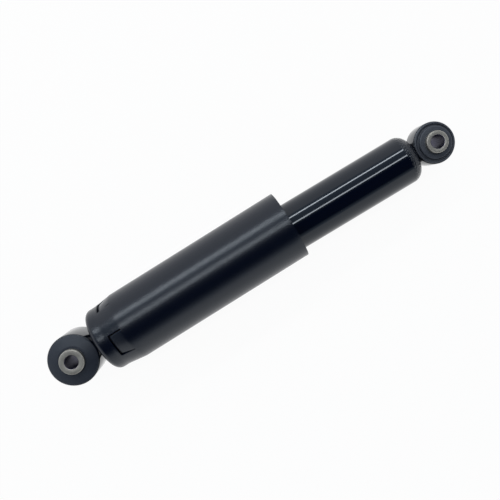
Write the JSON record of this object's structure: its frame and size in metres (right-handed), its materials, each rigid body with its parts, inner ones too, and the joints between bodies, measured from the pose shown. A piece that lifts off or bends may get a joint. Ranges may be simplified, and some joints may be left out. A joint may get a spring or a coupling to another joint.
{
  "type": "shock absorber",
  "caption": "Twin-tube telescopic shock absorber with a rubber-bushed eye at each end and a snap-fit plastic dust cover over the rod.",
  "frame": {"origin": "centre of the base eye's bore, on the rod's axis", "axes": "+X along the stroke towards the rod eye, +Z along the bores of both eyes"},
  "size_m": [0.4172, 0.0679, 0.065],
  "materials": {
    "black_paint": "gloss black paint",
    "weld": "gloss black paint over a weld bead",
    "bare_steel": "machined, bare",
    "chromed_rod": "hard chrome, polished",
    "tube_steel": "drawn tube, oiled",
    "sintered_iron": "sintered, matt",
    "spring_steel": "cold rolled",
    "zinc_steel": "zinc plated",
    "bush_bronze": "lined bronze",
    "band_plastic": "filled fluoroplastic",
    "eye_rubber": "matt",
    "seal_rubber": "smooth",
    "foam": "microcellular foam",
    "cover_plastic": "satin black"
  },
  "bodies": {
    "reservoir": {"base_eye_ring": "black_paint", "base_eye_bush": "eye_rubber", "base_eye_weld": "weld", "reservoir_tube": "black_paint", "pressure_tube": "tube_steel", "foot_valve_body": "sintered_iron", "foot_valve_discs": "spring_steel", "foot_valve_pin": "zinc_steel", "foot_valve_spring": "spring_steel", "rod_guide": "sintered_iron", "rod_guide_bush": "bush_bronze", "rod_seal": "seal_rubber", "garter_spring": "spring_steel", "seal_washer": "zinc_steel"},
    "foot_check_plate": {"foot_valve_check_plate": "spring_steel"},
    "band": {"piston_band": "band_plastic"},
    "rod": {"piston_rod": "chromed_rod", "piston": "sintered_iron", "rebound_discs": "spring_steel", "rebound_support_washer": "zinc_steel", "piston_nut": "zinc_steel", "piston_check_spring": "spring_steel", "piston_stop_plate": "zinc_steel", "rebound_stop_ring": "zinc_steel", "rebound_bumper": "band_plastic", "bump_stop": "foam", "cover_retainer": "black_paint", "rod_eye_weld": "weld", "rod_eye_ring": "black_paint", "rod_eye_bush": "eye_rubber"},
    "piston_check": {"piston_check_plate": "spring_steel"},
    "cover": {"dust_cover": "cover_plastic"},
    "base_sleeve": {"base_eye_sleeve": "bare_steel"},
    "rod_sleeve": {"rod_eye_sleeve": "bare_steel"}
  },
  "joints": [
    {"name": "stroke", "type": "slide", "parent": "reservoir", "child": "band", "axis": [1, 0, 0], "range_m": [-0.055, 0.065]},
    {"name": "rod_turn", "type": "hinge", "parent": "band", "child": "rod", "pos_m": [0.118, 0, 0], "axis": [1, 0, 0], "continuous": true},
    {"name": "cover_turn", "type": "hinge", "parent": "rod", "child": "cover", "pos_m": [0.34075, 0, 0], "axis": [0.9998, 0.0175, 0], "continuous": true},
    {"name": "base_bush_twist", "type": "hinge", "parent": "reservoir", "child": "base_sleeve", "pos_m": [0, 0, 0], "axis": [0, 0, 1], "range_deg": [-20, 20], "stiffness_Nm_per_rad": 46},
    {"name": "rod_bush_twist", "type": "hinge", "parent": "rod", "child": "rod_sleeve", "pos_m": [0.375, 0, 0], "axis": [0, 0, 1], "range_deg": [-20, 20], "stiffness_Nm_per_rad": 79},
    {"name": "foot_check_lift", "type": "slide", "parent": "reservoir", "child": "foot_check_plate", "axis": [1, 0, 0], "range_m": [0, 0.001], "stiffness_N_per_m": 300, "springref_m": -0.002, "deforming": ["foot_valve_spring"]},
    {"name": "piston_check_lift", "type": "slide", "parent": "rod", "child": "piston_check", "axis": [1, 0, 0], "range_m": [0, 0.001], "stiffness_N_per_m": 300, "springref_m": -0.002, "deforming": ["piston_check_spring"]}
  ]
}
